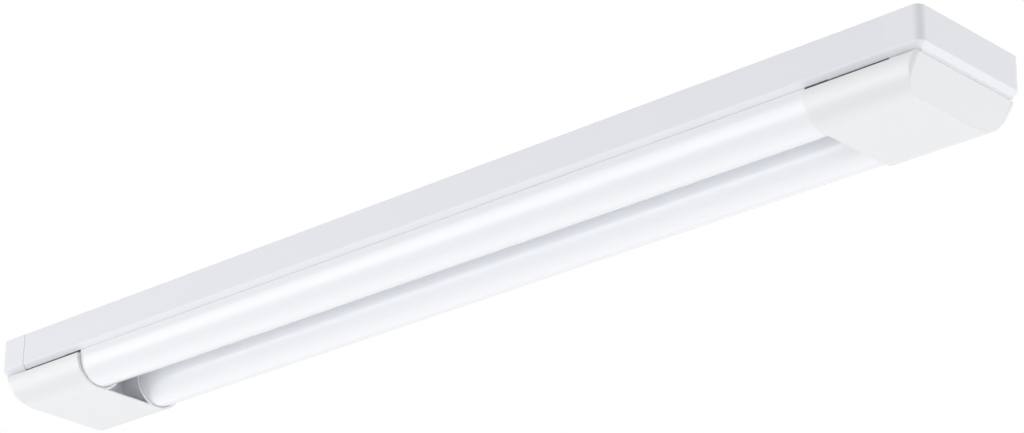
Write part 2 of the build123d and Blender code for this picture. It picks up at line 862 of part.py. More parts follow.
# Earth point on the tray: ring lug under a screw
lug_axis_z = tray_top + lug_barrel_radius
with BuildPart() as earth_lug:
    with BuildSketch(Plane.XY.offset(tray_top)):
        with Locations((earth_x, earth_y)):
            RegularPolygon(lug_radius, bush_sides)
            Rectangle(
                lug_radius + lug_barrel_length,
                2 * lug_barrel_radius,
                align=(Align.MAX, Align.CENTER),
            )
            RegularPolygon(
                earth_screw_radius + fit_gap,
                screw_sides,
                mode=Mode.SUBTRACT,
            )
    extrude(amount=lug_thickness)
    with BuildSketch(Plane.YZ.offset(earth_x - lug_radius - lug_barrel_length)):
        with Locations((earth_y, lug_axis_z)):
            RegularPolygon(lug_barrel_radius, lead_hole_sides)
    extrude(amount=lug_barrel_length)
    with BuildSketch(Plane.YZ.offset(earth_x - lug_radius - lug_barrel_length)):
        with Locations((earth_y, lug_axis_z)):
            RegularPolygon(mains_lead_radius + wire_gap, lead_hole_sides)
    extrude(amount=wire_hole_depth, mode=Mode.SUBTRACT)
keep(earth_lug, "earth_lug")

screws(
    [(earth_x, earth_y)],
    tray_top + lug_thickness,
    -1,
    earth_screw_radius,
    earth_screw_length,
    earth_screw_head_radius,
    earth_screw_head_height,
    "earth_screw",
)

# Leads between the terminal block, the driver, the earth point and the boards
lead_from_x = terminal_end - wire_hole_depth
lead_to_x = driver_start + wire_hole_depth
for pole_y, driver_y, name in (
    (-pole_pitch, -mains_wire_y, "lead_live"),
    (0, mains_wire_y, "lead_neutral"),
):
    lead(
        [
            (lead_from_x, pole_y, wire_hole_z),
            (terminal_end + mains_lead_step, pole_y, wire_hole_z),
            (driver_start - mains_lead_step, driver_y, plug_centre_z),
            (lead_to_x, driver_y, plug_centre_z),
        ],
        mains_lead_radius,
        name,
    )

lug_end_x = earth_x - lug_radius - lug_barrel_length
lead(
    [
        (lead_from_x, pole_pitch, wire_hole_z),
        (terminal_end + mains_lead_step / 2, pole_pitch, wire_hole_z),
        (lug_end_x - mains_lead_step / 2, earth_y, lug_axis_z),
        (lug_end_x + wire_hole_depth, earth_y, lug_axis_z),
    ],
    mains_lead_radius,
    "lead_earth",
)

for side, name in ((-1, "lead_led_near"), (1, "lead_led_far")):
    lead(
        [
            (driver_end - wire_hole_depth, side * led_wire_y, plug_centre_z),
            (driver_end + led_lead_step, side * led_wire_y, plug_centre_z),
            (0, side * tube_y, plug_centre_z + led_lead_rise),
            (0, side * tube_y, board_bottom),
        ],
        led_lead_radius,
        name,
    )


def cover_form(inset, start_x, top):
    """A cover's outer form with round sides, or drawn inset its hollow, where flats stand for them."""
    bend = cover_side_radius - inset
    side_y = half_width - inset
    centre_y = half_width - cover_side_radius
    centre_z = cover_bottom + cover_side_radius
    low = cover_bottom + inset
    quarter = [math.radians(90 * step / hollow_flats) for step in range(hollow_flats + 1)]
    round_side = [(centre_y + bend * math.cos(a), centre_z - bend * math.sin(a)) for a in quarter]
    left_side = [(-y, z) for y, z in reversed(round_side)]
    bend_45 = bend * math.sqrt(0.5)
    run = half_length - start_x
    end_x = cover_foot_x - inset * math.hypot(1, cover_lean)
    with BuildPart() as form:
        with BuildSketch(Plane.YZ.offset(start_x)):
            with BuildLine():
                if inset:
                    Polyline(
                        (side_y, top),
                        *round_side,
                        *left_side,
                        (-side_y, top),
                        close=True,
                    )
                else:
                    Line((-side_y, top), (-side_y, centre_z))
                    ThreePointArc(
                        (-side_y, centre_z),
                        (-centre_y - bend_45, centre_z - bend_45),
                        (-centre_y, low),
                    )
                    Line((-centre_y, low), (centre_y, low))
                    ThreePointArc(
                        (centre_y, low),
                        (centre_y + bend_45, centre_z - bend_45),
                        (side_y, centre_z),
                    )
                    Line((side_y, centre_z), (side_y, top))
                    Line((side_y, top), (-side_y, top))
            make_face()
        extrude(amount=run)
        plan_half = side_y + cover_corner_spare
        with BuildSketch(Plane.XY.offset(cover_bottom - overrun)) as end_plan:
            with Locations((end_x - cover_lean * overrun, 0)):
                Rectangle(end_x, 2 * plan_half, align=(Align.MAX, Align.CENTER))
            corners = end_plan.vertices().group_by(Axis.X)[-1]
            if inset:
                chamfer(corners, cover_inner_chamfer + cover_corner_spare)
            else:
                fillet(corners, cover_corner_radius + cover_corner_spare)
        rise = top - cover_bottom + 2 * overrun
        extrude(
            amount=rise * math.hypot(1, cover_lean),
            dir=(cover_lean, 0, 1),
            mode=Mode.INTERSECT,
        )
    return form.part


# Moulded end cover: cradles for the tubes, a bulkhead, ribs, snap hooks and a leaning end
cover_outside = cover_form(0, cover_inner_x, cover_top)
cover_inside = cover_form(cover_wall, bulkhead_x + bulkhead_thickness, cover_top + overrun)
cradle_radius = tube_radius + cradle_gap
hook_top = tray_top + hook_gap + hook_barb_height
with BuildPart() as end_cover_right:
    add(cover_outside)
    add(cover_inside, mode=Mode.SUBTRACT)
    with BuildSketch(Plane.YZ.offset(cover_inner_x)):
        with Locations((tube_y, tube_centre), (-tube_y, tube_centre)):
            Circle(cradle_radius)
            Rectangle(
                2 * cradle_radius, -tube_centre, align=(Align.CENTER, Align.MIN)
            )
    extrude(amount=bulkhead_x - cover_inner_x, mode=Mode.SUBTRACT)
    with BuildSketch(Plane.YZ.offset(cover_inner_x)):
        with Locations((0, cover_bottom + cover_wall)):
            Rectangle(2 * tube_y, -cover_bottom, align=(Align.CENTER, Align.MIN))
        with Locations((tube_y, tube_centre), (-tube_y, tube_centre)):
            Circle(cradle_radius + cradle_wall, mode=Mode.SUBTRACT)
            Rectangle(
                2 * (cradle_radius + cradle_wall),
                -cover_bottom,
                align=(Align.CENTER, Align.MIN),
                mode=Mode.SUBTRACT,
            )
    extrude(amount=bulkhead_x - cover_inner_x, mode=Mode.SUBTRACT)
    with BuildSketch(Plane.XY.offset(trap_foot)):
        with Locations((bulkhead_x, -trap_y), (bulkhead_x, trap_y)):
            Rectangle(
                channel_end - trap_end_gap - bulkhead_x,
                trap_wall,
                align=(Align.MIN, Align.CENTER),
            )
    extrude(amount=tray_bottom - trap_gap - trap_foot)
    with BuildSketch(Plane.XY.offset(cover_bottom + cover_wall / 2)):
        with Locations((bulkhead_x, -rib_y), (bulkhead_x, rib_y)):
            Rectangle(cover_foot_x - bulkhead_x, rib_wall, align=(Align.MIN, Align.CENTER))
    extrude(amount=cover_wall / 2 + rib_height)
    for x in hook_x:
        with BuildSketch(Plane.YZ.offset(x - hook_width / 2)):
            with BuildLine():
                Polyline(
                    (hook_y - hook_thickness / 2, cover_bottom + cover_wall / 2),
                    (hook_y - hook_thickness / 2, hook_top),
                    (hook_y, hook_top),
                    (hook_y + hook_thickness / 2 + hook_barb, tray_top + 2 * hook_gap),
                    (hook_y + hook_thickness / 2, tray_top + hook_gap),
                    (hook_y + hook_thickness / 2, cover_bottom + cover_wall / 2),
                    close=True,
                )
            make_face()
            mirror(about=Plane.YZ)
        extrude(amount=hook_width)
        with BuildSketch(Plane.XY.offset(cover_bottom + cover_wall / 2)):
            with Locations((x, hook_y), (x, -hook_y)):
                Rectangle(hook_root_width, hook_root_depth)
        extrude(amount=cover_wall / 2 + hook_root_height)
keep(end_cover_right, "end_cover_right")
mirrored(end_cover_right, "end_cover_left")
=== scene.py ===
import json
import math

import bmesh
import bpy
from mathutils import Matrix, Vector


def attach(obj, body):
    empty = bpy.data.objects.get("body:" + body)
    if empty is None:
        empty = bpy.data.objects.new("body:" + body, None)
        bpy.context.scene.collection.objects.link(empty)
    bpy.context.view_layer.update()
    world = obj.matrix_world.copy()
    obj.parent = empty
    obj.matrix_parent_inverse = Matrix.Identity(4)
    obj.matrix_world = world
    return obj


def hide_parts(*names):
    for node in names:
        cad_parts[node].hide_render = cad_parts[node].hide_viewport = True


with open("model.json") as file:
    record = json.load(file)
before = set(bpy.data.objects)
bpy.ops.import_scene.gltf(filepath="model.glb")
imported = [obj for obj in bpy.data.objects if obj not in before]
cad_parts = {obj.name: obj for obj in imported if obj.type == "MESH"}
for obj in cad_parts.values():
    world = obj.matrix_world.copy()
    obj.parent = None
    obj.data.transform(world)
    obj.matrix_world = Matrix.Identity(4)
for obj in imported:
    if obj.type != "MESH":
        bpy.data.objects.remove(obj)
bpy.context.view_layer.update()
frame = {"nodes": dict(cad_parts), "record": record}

# LED batten light with two opal tubes. Metres, +Z up into the ceiling, +X along the light.

mm = 0.001

# The photograph's camera
camera_place = (2.0320, -2.0784, -1.2403)
camera_azimuth = 133.335
camera_elevation = 23.094
camera_roll = 0.7354
camera_lens = 115.888
camera_sensor = 36.0

# Light on the object
fill_level = 0.62
side_level = 0.36
end_level = 0.36
below_level = 0.18
soft_distance = 6.0
soft_size = 3.2
floor_drop = 12.0
floor_size = 90.0
floor_tone = 0.85
floor_roughness = 0.8

# Long soft lamps that only gloss shows: angle below the near side, distance, size and level
highlight_angle = 9
highlight_distance = 2.6
highlight_size = (9.0, 2.25)
highlight_level = 1.1
plateau_angle = 117
plateau_distance = 3.0
plateau_size = (9.0, 3.6)
plateau_level = 0.4

# Heights and places that the solids share, in millimetres
tray_top = -38.8
tray_bottom = -39.8
crown_bottom = -40.8
board_bottom = -42.4
tube_y = 40.3
tube_radius = 27.0
tube_wall = 1.5
tube_centre = -44.0
tube_end = 499.4
foot_top = -40.1
foot_bottom = -41.4
foot_width = 4.0
skirt_top = -38.9
entry_x = 470.0
chip_pitch = 24.5
chip_count = 20
chip_start = 6.0
chip_height = 0.7
arc_steps = 72
round_sides = 32
small_round_sides = 24
thread_sides = 20
plug_sides = 64

# End covers: the end's top edge and lean, the round sides, and how far the scene moves their corners
cover_inner_x = 474.4
cover_end_x = 594.4
cover_end_lean = 0.6
cover_top = -42.4
cover_half_width = 71.5
side_round_y = 42
side_round_z = -43.5
side_round_radius = 29.5
corner_radius = 11
corner_reach = 11.5
corner_low_y = 60.3
corner_centre_y = 61.5
corner_kept_radius = 9.9
corner_from_x = 560
corner_bottom = -66.6
right_corner_share = 0.62
left_corner_share = 0.88
lift_height = 0.72
lift_reach = 3.5
lift_above = -42.45

# End caps: how far they stand proud, and over what width that grows from nothing
cap_proud = 0.4
proud_from_y = 63.5
side_proud_reach = 8.0
lip_proud_reach = 3.5
lip_low = -38.6
lip_high = -38.4
right_cap_face_x = 563.4
right_cap_face_shown_x = 563.1
same_place = 0.01

# Rims on the cradles' edges: the section as distance from the tube's axis and distance out of the cover
rim_section = ((27.45, -0.6), (27.45, 0.55), (27.7, 0.8), (29.5, 0.8), (29.9, 0.4), (29.9, -0.6))
rim_angle = 72
rim_steps = 24

# Dark strips that paint shade: in the slot above each end cover, and outside each tube's skirts
slot_shade_length = 86.6
slot_shade_width = 1.65
slot_shade_heights = (-40.15, -38.6)
skirt_shade_length = 24.6
skirt_shade_width = 0.7
skirt_shade_heights = (-41.0, -38.62)

# Rivets through the tray and the strips
rivet_radius = 2.0
rivet_height = 0.9
rivet_from_axis = 12.2

# Leads: how much of the shorter run a bend takes, and the places that two leads share
lead_share = 0.42
lead_steps = 14
terminal_lead_z = -30.8
driver_lead_z = -21.9
lug_lead_z = -36.9
led_lead_z = -18.9
stripe_height = 0.015

# LED packages, their phosphor fields, and the boards' tracks and pads
package_half = 1.5
pad_half_width = 0.35
pad_half_length = 1.2
pad_height = 0.1
pad_from_axis = 1.1 * 1.9
track_height = 0.05
track_inset = 2.3
rail_from_axis = 6.5
rail_half_width = 1.5

# Flats: the angle up to which faces count as level, and how much more area a folded one covers
level_angle = math.radians(0.5)
folded_share = 1.005

node_body = {}
for body_name, members in frame["record"]["behaviour"]["bodies"].items():
    for member in members:
        node_body[member] = body_name
node_slot = {row["node"]: row["material_slot"] for row in frame["record"]["subparts"]}


def new_material(name):
    """A node material with its principled shader."""
    material = bpy.data.materials.new(name)
    material.use_nodes = True
    shader = material.node_tree.nodes["Principled BSDF"]
    return material, shader


def add_node(material, kind, **values):
    """A shader node with its settings or its unlinked inputs set by name."""
    node = material.node_tree.nodes.new(kind)
    for key, value in values.items():
        if hasattr(node, key):
            setattr(node, key, value)
        else:
            node.inputs[key.replace("_", " ")].default_value = value
    return node


def link(material, source, target):
    """Joins an output to an input."""
    material.node_tree.links.new(source, target)


def colour(r, g, b):
    """A colour socket's value."""
    return (r, g, b, 1.0)


def grained(name, tone, roughness, scale, bump, variation, metallic=0.0, coat=0.0, coat_rough=0.12):
    """A finish with fine grain: bump, slight colour and roughness variation from object space noise."""
    material, shader = new_material(name)
    place = add_node(material, "ShaderNodeTexCoord")
    noise = add_node(material, "ShaderNodeTexNoise", Scale=scale, Detail=3.0, Roughness=0.55)
    link(material, place.outputs["Object"], noise.inputs["Vector"])
    broad = add_node(material, "ShaderNodeTexNoise", Scale=scale / 90, Detail=2.0, Roughness=0.5)
    link(material, place.outputs["Object"], broad.inputs["Vector"])
    ramp = add_node(material, "ShaderNodeMapRange")
    ramp.inputs["To Min"].default_value = roughness - 0.05
    ramp.inputs["To Max"].default_value = roughness + 0.05
    link(material, broad.outputs["Fac"], ramp.inputs["Value"])
    link(material, ramp.outputs["Result"], shader.inputs["Roughness"])
    tint = add_node(material, "ShaderNodeMix", data_type="RGBA")
    tint.inputs["A"].default_value = colour(*[t * (1 - variation) for t in tone])
    tint.inputs["B"].default_value = colour(*tone)
    link(material, broad.outputs["Fac"], tint.inputs["Factor"])
    link(material, tint.outputs["Result"], shader.inputs["Base Color"])
    bumps = add_node(material, "ShaderNodeBump", Strength=bump, Distance=0.0002)
    link(material, noise.outputs["Fac"], bumps.inputs["Height"])
    link(material, bumps.outputs["Normal"], shader.inputs["Normal"])
    shader.inputs["Metallic"].default_value = metallic
    shader.inputs["Coat Weight"].default_value = coat
    shader.inputs["Coat Roughness"].default_value = coat_rough
    return material


finishes = {
    "white_steel": grained("white_steel", (0.85, 0.866, 0.91), 0.42, 1300.0, 0.10, 0.012),
    "white_plastic": grained(
        "white_plastic", (0.86, 0.877, 0.916), 0.36, 1600.0, 0.06, 0.01, 0.0, 0.6, 0.2
    ),
    "opal_diffuser": grained(
        "opal_diffuser", (0.875, 0.893, 0.922), 0.3, 600.0, 0.012, 0.006, 0.0, 1.0, 0.18
    ),
    "strip_aluminium": grained("strip_aluminium", (0.8, 0.81, 0.82), 0.35, 900.0, 0.2, 0.05, 1.0),
    "board_white": grained("board_white", (0.88, 0.88, 0.86), 0.35, 1500.0, 0.1, 0.02),
    "led_phosphor": grained("led_phosphor", (0.9, 0.72, 0.2), 0.4, 1500.0, 0.1, 0.05),
    "zinc_steel": grained("zinc_steel", (0.7, 0.71, 0.73), 0.3, 1500.0, 0.2, 0.1, 1.0),
    "rivet_aluminium": grained("rivet_aluminium", (0.75, 0.76, 0.77), 0.35, 1500.0, 0.2, 0.05, 1.0),
    "driver_plastic": grained("driver_plastic", (0.8, 0.8, 0.79), 0.5, 1800.0, 0.3, 0.02),
    "connector_white": grained("connector_white", (0.83, 0.83, 0.8), 0.4, 1500.0, 0.1, 0.02),
    "terminal_grey": grained("terminal_grey", (0.35, 0.37, 0.39), 0.42, 1500.0, 0.15, 0.03),
    "button_orange": grained("button_orange", (0.78, 0.16, 0.015), 0.38, 1500.0, 0.1, 0.03),
    "button_blue": grained("button_blue", (0.02, 0.09, 0.5), 0.38, 1500.0, 0.1, 0.03),
    "button_green": grained("button_green", (0.05, 0.32, 0.05), 0.38, 1500.0, 0.1, 0.03),
    "clamp_plastic": grained("clamp_plastic", (0.75, 0.75, 0.73), 0.45, 1500.0, 0.2, 0.03),
    "rubber_grey": grained("rubber_grey", (0.06, 0.06, 0.063), 0.6, 1500.0, 0.3, 0.1),
    "tinned_brass": grained("tinned_brass", (0.72, 0.66, 0.45), 0.3, 1500.0, 0.15, 0.08, 1.0),
    "lead_brown": grained("lead_brown", (0.1, 0.03, 0.012), 0.35, 1500.0, 0.1, 0.05),
    "lead_blue": grained("lead_blue", (0.02, 0.08, 0.45), 0.35, 1500.0, 0.1, 0.05),
    "lead_earth": grained("lead_earth", (0.06, 0.35, 0.04), 0.35, 1500.0, 0.1, 0.05),
    "lead_white": grained("lead_white", (0.82, 0.82, 0.8), 0.35, 1500.0, 0.1, 0.03),
}
# The covers' copy of the white plastic, darker and less blue. Its lower tone is painted shade, which
# keeps the covers' flats from rendering too bright under the light from below.
shaded_cover_white = grained(
    "shaded_cover_white", (0.83, 0.842, 0.86), 0.36, 1600.0, 0.06, 0.01, 0.0, 0.6, 0.2
)
earth_stripe = grained("earth_stripe", (0.85, 0.62, 0.03), 0.35, 1500.0, 0.1, 0.05)

for node_name, slot_name in node_slot.items():
    node = frame["nodes"][node_name]
    node.data.materials.clear()
    node.data.materials.append(finishes[slot_name])


def finished(name, bm, node, slot=None, finish=None, sharp=35.0, even=False, stands=True):
    """Makes a piece of the mesh, with its finish and shading, the body it rides on and its node."""
    mesh = bpy.data.meshes.new(name)
    bmesh.ops.recalc_face_normals(bm, faces=bm.faces)
    bm.to_mesh(mesh)
    bm.free()
    mesh.shade_smooth()
    mesh.set_sharp_from_angle(angle=math.radians(sharp))
    piece = bpy.data.objects.new(name, mesh)
    bpy.context.scene.collection.objects.link(piece)
    slot = slot or node_slot[node]
    mesh.materials.append(finish or finishes[slot])
    if even:
        normals = piece.modifiers.new("normals", "WEIGHTED_NORMAL")
        normals.keep_sharp = True
    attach(piece, node_body[node])
    if stands:
        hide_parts(node)
    return piece


def trim_corner(vert):
    """Tightens the round corners of a cover's end and lifts the top of the end toward the body."""
    x, y, z = abs(vert.co.x) / mm, abs(vert.co.y) / mm, vert.co.z / mm
    if x < corner_from_x or z < corner_bottom:
        return
    end_x = cover_end_x + cover_end_lean * (z - cover_top)
    side_y = cover_half_width
    if z <= side_round_z:
        side_y = side_round_y + math.sqrt(side_round_radius**2 - (z - side_round_z) ** 2)
    back, inward = end_x - x, side_y - y
    share = right_corner_share if vert.co.x > 0 else left_corner_share
    from_centre = math.hypot(back - corner_radius, y - corner_centre_y)
    if y > corner_low_y and back < corner_reach and from_centre > corner_kept_radius:
        x, y = end_x - share * back, side_y - share * inward
    if z > lift_above:
        z += lift_height * max(0.0, 1 - (end_x - x) / lift_reach)
    vert.co = (math.copysign(x * mm, vert.co.x), math.copysign(y * mm, vert.co.y), z * mm)


def stand_proud(vert, right):
    """Moves a point of an end cap outward, which hides the cap's seam from the side."""
    reach = side_proud_reach if vert.co.z > lip_high * mm else lip_proud_reach
    share = min(1.0, max(0.0, (abs(vert.co.y) / mm - proud_from_y) / reach))
    vert.co.y += math.copysign(cap_proud * share * mm, vert.co.y)
    if lip_low * mm < vert.co.z < lip_high * mm:
        vert.co.z -= cap_proud * mm
    if right and abs(vert.co.x - right_cap_face_x * mm) < same_place * mm:
        vert.co.x = right_cap_face_shown_x * mm


def folded_face(bm):
    """The first face whose triangles cover more than the face itself, or None."""
    cover = {}
    for loops in bm.calc_loop_triangles():
        a, b, c = (loop.vert.co for loop in loops)
        face = loops[0].face
        cover[face] = cover.get(face, 0.0) + (b - a).cross(c - a).length / 2
    for face in bm.faces:
        if len(face.verts) > 4 and cover[face] > folded_share * face.calc_area():
            return face
    return None


def mend_folds(bm):
    """Fills a flat anew where rounding the edges around its hole has folded it over the hole."""
    mended = False
    face = folded_face(bm)
    while face:
        level, todo = {face: None}, [face]
        while todo:
            for edge in todo.pop().edges:
                if len(edge.link_faces) == 2 and edge.calc_face_angle(0) < level_angle:
                    for other in edge.link_faces:
                        if other not in level:
                            level[other] = None
                            todo.append(other)
        rim = [e for f in level for e in f.edges if sum(g in level for g in e.link_faces) == 1]
        bmesh.ops.delete(bm, geom=list(level), context="FACES_KEEP_BOUNDARY")
        bmesh.ops.triangle_fill(bm, edges=rim, use_beauty=True)
        face = folded_face(bm)
        mended = True
    if mended:
        # The fill's own order varies from run to run, so the faces are put in order of place.
        in_order = sorted(bm.faces, key=lambda f: tuple(f.calc_center_median()))
        for index, face in enumerate(in_order):
            face.index = index
        bm.faces.sort()


def dressed(node, width, least=28.0, proud=False, finish=None):
    """The solid's own form with its flats merged, its edges rounded and its round faces smooth."""
    bm = bmesh.new()
    bm.from_mesh(frame["nodes"][node].data)
    if node.startswith("end_cover"):
        for vert in bm.verts:
            trim_corner(vert)
    if proud:
        for vert in bm.verts:
            stand_proud(vert, node.endswith("right"))
    bmesh.ops.remove_doubles(bm, verts=bm.verts, dist=2e-6)
    bmesh.ops.dissolve_limit(bm, angle_limit=level_angle, verts=bm.verts, edges=bm.edges)
    edges = []
    for edge in bm.edges:
        if len(edge.link_faces) == 2 and edge.calc_face_angle(0) > math.radians(least):
            edges.append(edge)
    bmesh.ops.bevel(
        bm,
        geom=edges,
        offset=width * mm,
        offset_type="OFFSET",
        segments=2,
        profile=0.5,
        affect="EDGES",
        clamp_overlap=False,
        miter_outer="ARC",
        miter_inner="SHARP",
    )
    mend_folds(bm)
    return finished("dressed_" + node, bm, node, finish=finish, even=True)


def add_ring(bm, centre, radius, height, sides, up=1):
    """A level ring of points about a centre, in millimetres."""
    ring = []
    for step in range(sides):
        angle = 2 * math.pi * step / sides
        point = (
            centre[0] + radius * math.cos(angle),
            centre[1] + radius * math.sin(angle),
            centre[2] + up * height,
        )
        ring.append(bm.verts.new([c * mm for c in point]))
    return ring


def join_rings(bm, low, high):
    """Faces between two rings of as many points."""
    count = len(low)
    for step in range(count):
        after = (step + 1) % count
        bm.faces.new((low[step], low[after], high[after], high[step]))


def turned(bm, centre, profile, sides, up=1, hollow=False):
    """A turned form on an upright axis: its profile is (radius, height) from one end to the other."""
    rings = [add_ring(bm, centre, r, h, sides, up) for r, h in profile]
    for low, high in zip(rings, rings[1:]):
        join_rings(bm, low, high)
    if hollow:
        join_rings(bm, rings[-1], rings[0])
    else:
        bm.faces.new(rings[0])
        bm.faces.new(rings[-1])


def add_screw(bm, centre, head_radius, head_height, shank_radius, shank_length, up):
    """A pan head screw with a cross recess and a threaded shank; up is the head's side of the seat."""
    dome = [(head_radius, 0.0), (head_radius, 0.45 * head_height)]
    last = math.radians(64)
    for step in range(1, 5):
        angle = math.radians(16 * step)
        dome.append((
            head_radius - 0.42 * head_radius * (1 - math.cos(angle)) / (1 - math.cos(last)),
            head_height * (0.45 + 0.55 * math.sin(angle) / math.sin(last)),
        ))
    rings = [add_ring(bm, centre, r, h, round_sides, up) for r, h in dome]
    for low, high in zip(rings, rings[1:]):
        join_rings(bm, low, high)
    arm, half, depth = 0.42 * head_radius, 0.085 * head_radius, 0.62 * head_height
    outline = [
        (arm, -half), (arm, half), (half, half), (half, arm), (-half, arm), (-half, half),
        (-arm, half), (-arm, -half), (-half, -half), (-half, -arm), (half, -arm), (half, -half),
    ]
    loops = []
    for share, height in ((1.0, head_height), (0.78, head_height - depth)):
        loops.append([
            bm.verts.new((
                (centre[0] + share * x) * mm,
                (centre[1] + share * y) * mm,
                (centre[2] + up * height) * mm,
            ))
            for x, y in outline
        ])
    join_rings(bm, loops[0], loops[1])
    bm.faces.new(loops[1])
    rim = []
    for loop in (rings[-1], loops[0]):
        for step, point in enumerate(loop):
            rim.append(bm.edges.get((point, loop[(step + 1) % len(loop)])))
    bmesh.ops.triangle_fill(bm, edges=rim, use_beauty=True)
    bm.faces.new(rings[0])
    pitch = 0.34 * shank_radius
    turns = int(shank_length / pitch)
    thread = []
    for turn in range(turns):
        thread.append((shank_radius * 0.84, turn * pitch))
        thread.append((shank_radius, (turn + 0.5) * pitch))
    thread.append((shank_radius * 0.7, shank_length))
    turned(bm, centre, thread, thread_sides, -up)


def add_screws(name, node, places, head_radius, head_height, shank_radius, shank_length, up):
    """A set of like screws as one piece."""
    bm = bmesh.new()
    for place in places:
        add_screw(bm, place, head_radius, head_height, shank_radius, shank_length, up)
    return finished(name, bm, node, sharp=32.0)


def route_points(corners):
    """Points along straight runs joined by arcs, as in the solids."""
    corners = [Vector(c) for c in corners]
    points = [corners[0]]
    for before, here, after in zip(corners, corners[1:], corners[2:]):
        first, second = here - before, after - here
        reach = lead_share * min(first.length, second.length)
        half_turn = first.angle(second) / 2
        bend = reach / math.tan(half_turn)
        a, b = first.normalized(), second.normalized()
        centre = here + (b - a).normalized() * bend / math.cos(half_turn)
        start, end = here - a * reach - centre, here + b * reach - centre
        for step in range(lead_steps + 1):
            share = step / lead_steps
            turn = 2 * half_turn
            spoke = (
                start * math.sin((1 - share) * turn) + end * math.sin(share * turn)
            ) / math.sin(turn)
            points.append(centre + spoke)
    points.append(corners[-1])
    return points


def add_tube(bm, points, radius, sides, first=0, last=None):
    """A tube along the points, or a band of its sides from first to last."""
    tangents = []
    for step in range(len(points)):
        ahead = points[min(step + 1, len(points) - 1)] - points[max(step - 1, 0)]
        tangents.append(ahead.normalized())
    side = tangents[0].cross(Vector((0, 0, 1)))
    if side.length < 0.1:
        side = tangents[0].cross(Vector((0, 1, 0)))
    side.normalize()
    rings = []
    last = sides if last is None else last
    for point, tangent in zip(points, tangents):
        side = (side - tangent * side.dot(tangent)).normalized()
        other = tangent.cross(side)
        rings.append([
            bm.verts.new((
                point
                + side * radius * math.cos(2 * math.pi * k / sides)
                + other * radius * math.sin(2 * math.pi * k / sides)
            ) * mm)
            for k in range(first, last + (0 if last == sides else 1))
        ])
    closed = last == sides
    for low, high in zip(rings, rings[1:]):
        count = len(low)
        for k in range(count if closed else count - 1):
            bm.faces.new((low[k], low[(k + 1) % count], high[(k + 1) % count], high[k]))
    if closed:
        bm.faces.new(rings[0])
        bm.faces.new(rings[-1])


def add_box(bm, low, high, bevel=0.0):
    """A box between two corners, in millimetres, with an optional rounding of its edges."""
    centre = [(a + b) / 2 * mm for a, b in zip(low, high)]
    size = [(b - a) * mm for a, b in zip(low, high)]
    made = bmesh.ops.create_cube(bm, size=1.0)
    bmesh.ops.scale(bm, vec=size, verts=made["verts"])
    bmesh.ops.translate(bm, vec=centre, verts=made["verts"])
    if bevel:
        edges = list({e for v in made["verts"] for e in v.link_edges})
        bmesh.ops.bevel(bm, geom=edges, offset=bevel * mm, segments=2, profile=0.5, affect="EDGES")


def corners_of(x, y, z):
    """The four places at plus and minus x and y."""
    return [(i * x, j * y, z) for i in (-1, 1) for j in (-1, 1)]


# Opal diffusers: a fine arc with straight skirts and feet
for side, node_name in ((-1, "diffuser_near"), (1, "diffuser_far")):
    inner_radius = tube_radius - tube_wall
    outer_arc, inner_arc = [], []
    for step in range(arc_steps + 1):
        angle = math.pi + math.pi * step / arc_steps
        for arc, radius in ((outer_arc, tube_radius), (inner_arc, inner_radius)):
            arc.append((radius * math.cos(angle), tube_centre + radius * math.sin(angle)))
    near_skirt = [
        (-inner_radius, foot_bottom),
        (-inner_radius + foot_width, foot_bottom),
        (-inner_radius + foot_width, foot_top),
        (-tube_radius, foot_top),
    ]
    far_skirt = [
        (tube_radius, skirt_top),
        (inner_radius, skirt_top),
        (inner_radius, foot_top),
        (inner_radius - foot_width, foot_top),
        (inner_radius - foot_width, foot_bottom),
        (inner_radius, foot_bottom),
    ]
    outline = near_skirt + outer_arc + far_skirt + inner_arc[::-1]
    bm = bmesh.new()
    rows = []
    for x in (-tube_end, tube_end):
        rows.append([bm.verts.new((x * mm, side * (tube_y + y) * mm, z * mm)) for y, z in outline])
    join_rings(bm, rows[0], rows[1])
    for row in rows:
        bmesh.ops.triangle_fill(
            bm,
            edges=[bm.edges.get((p, row[(k + 1) % len(row)])) for k, p in enumerate(row)],
            use_beauty=True,
        )
    finished("opal_" + node_name, bm, node_name, sharp=30.0)

# Mouldings, nuts and the earth lug with rounded edges. The groove around the driver's lid is 0.6 mm wide,
# so the driver's rounding is kept under half of that.
for node_name in ("end_cap_left", "end_cap_right"):
    dressed(node_name, 0.3, proud=True)
for node_name in ("end_cover_left", "end_cover_right"):
    # The covers take the darker copy of the white plastic, which paints shade on them.
    dressed(node_name, 0.35, finish=shaded_cover_white)
for node_name, width in (
    ("driver_case", 0.2),
    ("terminal_block", 0.25),
    ("cable_clamp", 0.3),
    ("driver_input", 0.2),
    ("driver_output", 0.2),
    ("board_joiners", 0.2),
    ("release_button_live", 0.2),
    ("release_button_neutral", 0.2),
    ("release_button_earth", 0.2),
):
    dressed(node_name, width)
for node_name, width in (("tray_nuts", 0.15), ("earth_lug", 0.15)):
    dressed(node_name, width, least=50.0)

# Pan head screws: head radius and height, shank radius and length, and the side that the head is on
for name, node_name, places, sizes, up in (
    ("pan_tray_screws", "tray_screws", corners_of(540, 60.5, tray_bottom), (3.8, 2.6, 2.2, 9), -1),
    (
        "pan_board_screws",
        "board_screws",
        corners_of(chip_start + chip_pitch, tube_y, board_bottom)
        + corners_of(chip_start + (chip_count - 1) * chip_pitch, tube_y, board_bottom),
        (2.6, 1.4, 1.4, 2.4),
        -1,
    ),
    (
        "pan_driver_screws",
        "driver_screws",
        [(-334.5, 0, -36.8), (-85.5, 0, -36.8)],
        (3.4, 2.0, 1.8, 5),
        1,
    ),
    (
        "pan_terminal_screws",
        "terminal_screws",
        [(-409, -21, -34.8), (-409, 21, -34.8)],
        (2.7, 1.8, 1.4, 5.2),
        1,
    ),
    (
        "pan_clamp_screws",
        "clamp_screws",
        [(-444, -11.2, -36.6), (-444, 11.2, -36.6)],
        (2.7, 1.8, 1.4, 5.2),
        1,
    ),
    ("pan_earth_screw", "earth_screw", [(-350, 9.6, -38.0)], (3.8, 2.4, 2.0, 5), 1),
):
    add_screws(name, node_name, places, *sizes, up)

